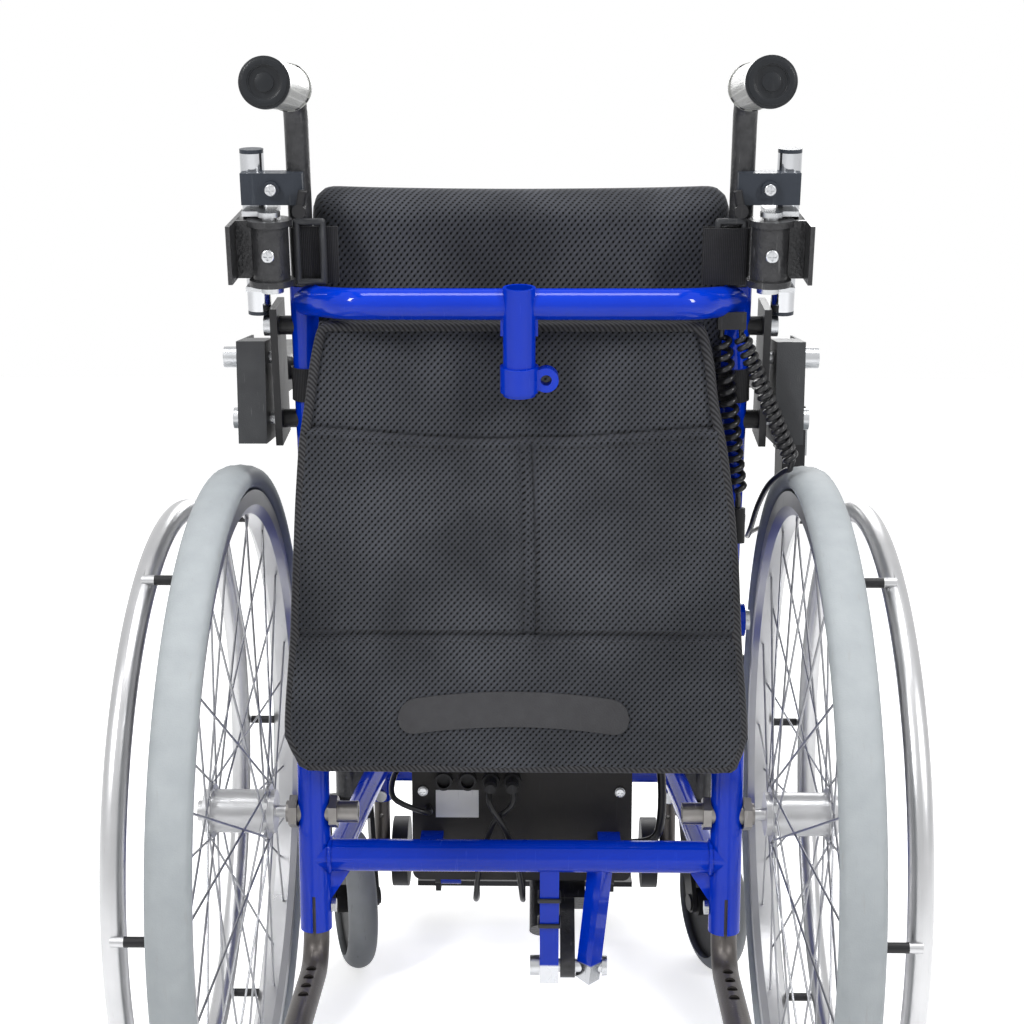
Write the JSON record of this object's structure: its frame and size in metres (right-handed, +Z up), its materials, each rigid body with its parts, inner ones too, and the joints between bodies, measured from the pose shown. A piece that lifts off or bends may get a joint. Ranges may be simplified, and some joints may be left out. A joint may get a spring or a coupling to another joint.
{
  "type": "standing wheelchair",
  "caption": "Hand-propelled standing wheelchair with spoked wheels, casters, electric stand-up linkage, padded seat, bent rear bar, rear flap, armrests, knee support and handset.",
  "frame": {"origin": "on the floor under the middle of the outline, midway between the back of the rear wheels and the front of the footplate", "axes": "+X to the occupant's right, +Y forward, +Z up; the rear axle is at Y -0.125"},
  "size_m": [0.603, 0.86, 0.9381],
  "materials": {
    "frame_blue": "gloss",
    "grey_metal": "satin",
    "bare_steel": "satin",
    "box_black": "matte",
    "mesh_fabric": "matte",
    "grip_rubber": "matte",
    "chrome": "polished",
    "black_plastic": "satin",
    "black_metal": "satin",
    "aluminium": "satin",
    "webbing": "matte",
    "cord_black": "satin",
    "pad_black": "satin",
    "grey_plastic": "satin",
    "tyre_grey": "matte"
  },
  "bodies": {
    "chassis": {"rear_posts": "frame_blue", "base_crossbars": "frame_blue", "side_rails": "frame_blue", "front_uprights": "frame_blue", "caster_housings": "grey_metal", "axle_sleeves": "bare_steel", "antitip_struts": "grey_metal", "control_box": "box_black", "box_connectors": "box_black", "frame_fasteners": "bare_steel", "footrest_hangers": "frame_blue"},
    "seat": {"seat_frame": "frame_blue", "seat_cushion": "mesh_fabric"},
    "backrest": {"backrest_posts": "frame_blue", "top_bar": "frame_blue", "back_cushion": "mesh_fabric", "rear_flap": "mesh_fabric", "push_handles": "grey_metal", "handle_grips": "grip_rubber", "chrome_rails": "chrome", "rail_clamps": "black_plastic", "side_plates": "black_metal", "armrest_boxes": "grey_metal", "back_fasteners": "bare_steel", "belt_loops": "black_plastic", "chest_straps": "webbing", "cord_fittings": "black_plastic", "curly_cord": "cord_black"},
    "left_chest_arm": {"left_chest_arm": "grey_metal"},
    "right_chest_arm": {"right_chest_arm": "grey_metal"},
    "left_clamp_lever": {"left_clamp_lever": "black_plastic"},
    "right_clamp_lever": {"right_clamp_lever": "black_plastic"},
    "left_armrest": {"left_armrest": "black_metal", "left_armrest_pad": "pad_black"},
    "right_armrest": {"right_armrest": "black_metal", "right_armrest_pad": "pad_black", "handset": "black_plastic"},
    "handset_rocker": {"handset_rocker": "grey_plastic"},
    "left_wheel": {"left_tyre": "tyre_grey", "left_rim": "aluminium", "left_pushrim": "aluminium", "left_hub": "aluminium", "left_spokes": "bare_steel"},
    "right_wheel": {"right_tyre": "tyre_grey", "right_rim": "aluminium", "right_pushrim": "aluminium", "right_hub": "aluminium", "right_spokes": "bare_steel"},
    "left_caster": {"left_caster_fork": "black_metal"},
    "right_caster": {"right_caster_fork": "black_metal"},
    "left_caster_wheel": {"left_caster_wheel": "tyre_grey"},
    "right_caster_wheel": {"right_caster_wheel": "tyre_grey"},
    "left_strut_wheel": {"left_strut_wheel": "black_plastic"},
    "right_strut_wheel": {"right_strut_wheel": "black_plastic"},
    "link": {"link_bars": "frame_blue"},
    "actuator": {"actuator_body": "grey_metal"},
    "actuator_rod": {"actuator_rod": "bare_steel"},
    "left_brake": {"left_brake": "black_metal"},
    "right_brake": {"right_brake": "black_metal"},
    "footplate": {"footplate": "black_metal"},
    "knee_support": {"knee_bar": "frame_blue", "knee_pads": "pad_black"}
  },
  "joints": [
    {"name": "seat_lift", "type": "hinge", "parent": "chassis", "child": "seat", "pos_m": [0, 0.315, 0.468], "axis": [-1, 0, 0], "range_deg": [0, 75]},
    {"name": "backrest_level", "type": "hinge", "parent": "seat", "child": "backrest", "pos_m": [0, -0.077, 0.468], "axis": [-1, 0, 0], "range_deg": [-75, 0]},
    {"name": "link_swing", "type": "hinge", "parent": "chassis", "child": "link", "pos_m": [0, 0.315, 0.408], "axis": [-1, 0, 0], "range_deg": [0, 75]},
    {"name": "actuator_tilt", "type": "hinge", "parent": "chassis", "child": "actuator", "pos_m": [0, -0.1, 0.151], "axis": [1, 0, 0], "range_deg": [0, 10.7]},
    {"name": "actuator_stroke", "type": "slide", "parent": "actuator", "child": "actuator_rod", "axis": [0, 0.7306, 0.6828], "range_m": [0, 0.167]},
    {"name": "left_wheel_spin", "type": "hinge", "parent": "chassis", "child": "left_wheel", "pos_m": [-0.2454, -0.125, 0.305], "axis": [1, 0, 0], "continuous": true},
    {"name": "left_caster_swivel", "type": "hinge", "parent": "chassis", "child": "left_caster", "pos_m": [-0.198, 0.268, 0.2], "axis": [0, 0, 1], "range_deg": [-188, 62]},
    {"name": "left_caster_spin", "type": "hinge", "parent": "left_caster", "child": "left_caster_wheel", "pos_m": [-0.18765, 0.22936, 0.076], "axis": [0.9659, 0.2588, 0], "continuous": true},
    {"name": "left_strut_wheel_spin", "type": "hinge", "parent": "chassis", "child": "left_strut_wheel", "pos_m": [-0.143, 0.33, 0.092], "axis": [1, 0, 0], "continuous": true},
    {"name": "left_armrest_lift", "type": "hinge", "parent": "backrest", "child": "left_armrest", "pos_m": [-0.225, -0.073, 0.69], "axis": [1, 0, 0], "range_deg": [0, 90]},
    {"name": "left_chest_arm_swing", "type": "hinge", "parent": "backrest", "child": "left_chest_arm", "pos_m": [-0.2003, -0.16867, 0.7921], "axis": [0, -0.1736, 0.9848], "range_deg": [0, 90]},
    {"name": "left_clamp_lever_turn", "type": "hinge", "parent": "backrest", "child": "left_clamp_lever", "pos_m": [-0.177, -0.16635, 0.82498], "axis": [0, 0.9848, 0.1736], "range_deg": [0, 70]},
    {"name": "left_brake_turn", "type": "hinge", "parent": "chassis", "child": "left_brake", "pos_m": [-0.199, 0.21, 0.395], "axis": [-1, 0, 0], "range_deg": [0, 26]},
    {"name": "right_wheel_spin", "type": "hinge", "parent": "chassis", "child": "right_wheel", "pos_m": [0.2454, -0.125, 0.305], "axis": [1, 0, 0], "continuous": true},
    {"name": "right_caster_swivel", "type": "hinge", "parent": "chassis", "child": "right_caster", "pos_m": [0.198, 0.268, 0.2], "axis": [0, 0, 1], "range_deg": [-92, 158]},
    {"name": "right_caster_spin", "type": "hinge", "parent": "right_caster", "child": "right_caster_wheel", "pos_m": [0.20835, 0.22936, 0.076], "axis": [0.9659, 0.2588, 0], "continuous": true},
    {"name": "right_strut_wheel_spin", "type": "hinge", "parent": "chassis", "child": "right_strut_wheel", "pos_m": [0.143, 0.33, 0.092], "axis": [1, 0, 0], "continuous": true},
    {"name": "right_armrest_lift", "type": "hinge", "parent": "backrest", "child": "right_armrest", "pos_m": [0.225, -0.073, 0.69], "axis": [1, 0, 0], "range_deg": [0, 90]},
    {"name": "right_chest_arm_swing", "type": "hinge", "parent": "backrest", "child": "right_chest_arm", "pos_m": [0.2003, -0.16867, 0.7921], "axis": [0, 0.1736, -0.9848], "range_deg": [0, 90]},
    {"name": "right_clamp_lever_turn", "type": "hinge", "parent": "backrest", "child": "right_clamp_lever", "pos_m": [0.177, -0.16635, 0.82498], "axis": [0, -0.9848, -0.1736], "range_deg": [0, 70]},
    {"name": "right_brake_turn", "type": "hinge", "parent": "chassis", "child": "right_brake", "pos_m": [0.199, 0.21, 0.395], "axis": [-1, 0, 0], "range_deg": [0, 26]},
    {"name": "handset_rocker_press", "type": "hinge", "parent": "right_armrest", "child": "handset_rocker", "pos_m": [0.269, 0.105, 0.6077], "axis": [0, 1, 0], "range_deg": [-8, 8], "stiffness_Nm_per_rad": 0.05},
    {"name": "footplate_fold", "type": "hinge", "parent": "chassis", "child": "footplate", "pos_m": [0, 0.315, 0.07], "axis": [1, 0, 0], "range_deg": [0, 85]},
    {"name": "knee_support_swing", "type": "hinge", "parent": "chassis", "child": "knee_support", "pos_m": [-0.164, 0.347, 0.43], "axis": [0, 0, 1], "range_deg": [0, 100]}
  ],
  "couplings": [
    {"joint": "backrest_level", "follows": "seat_lift", "ratio": -1},
    {"joint": "link_swing", "follows": "seat_lift", "ratio": 1},
    {"joint": "actuator_tilt", "follows": "seat_lift", "ratio": 0.1413},
    {"joint": "actuator_stroke", "follows": "seat_lift", "m_per_rad": 0.1268}
  ]
}
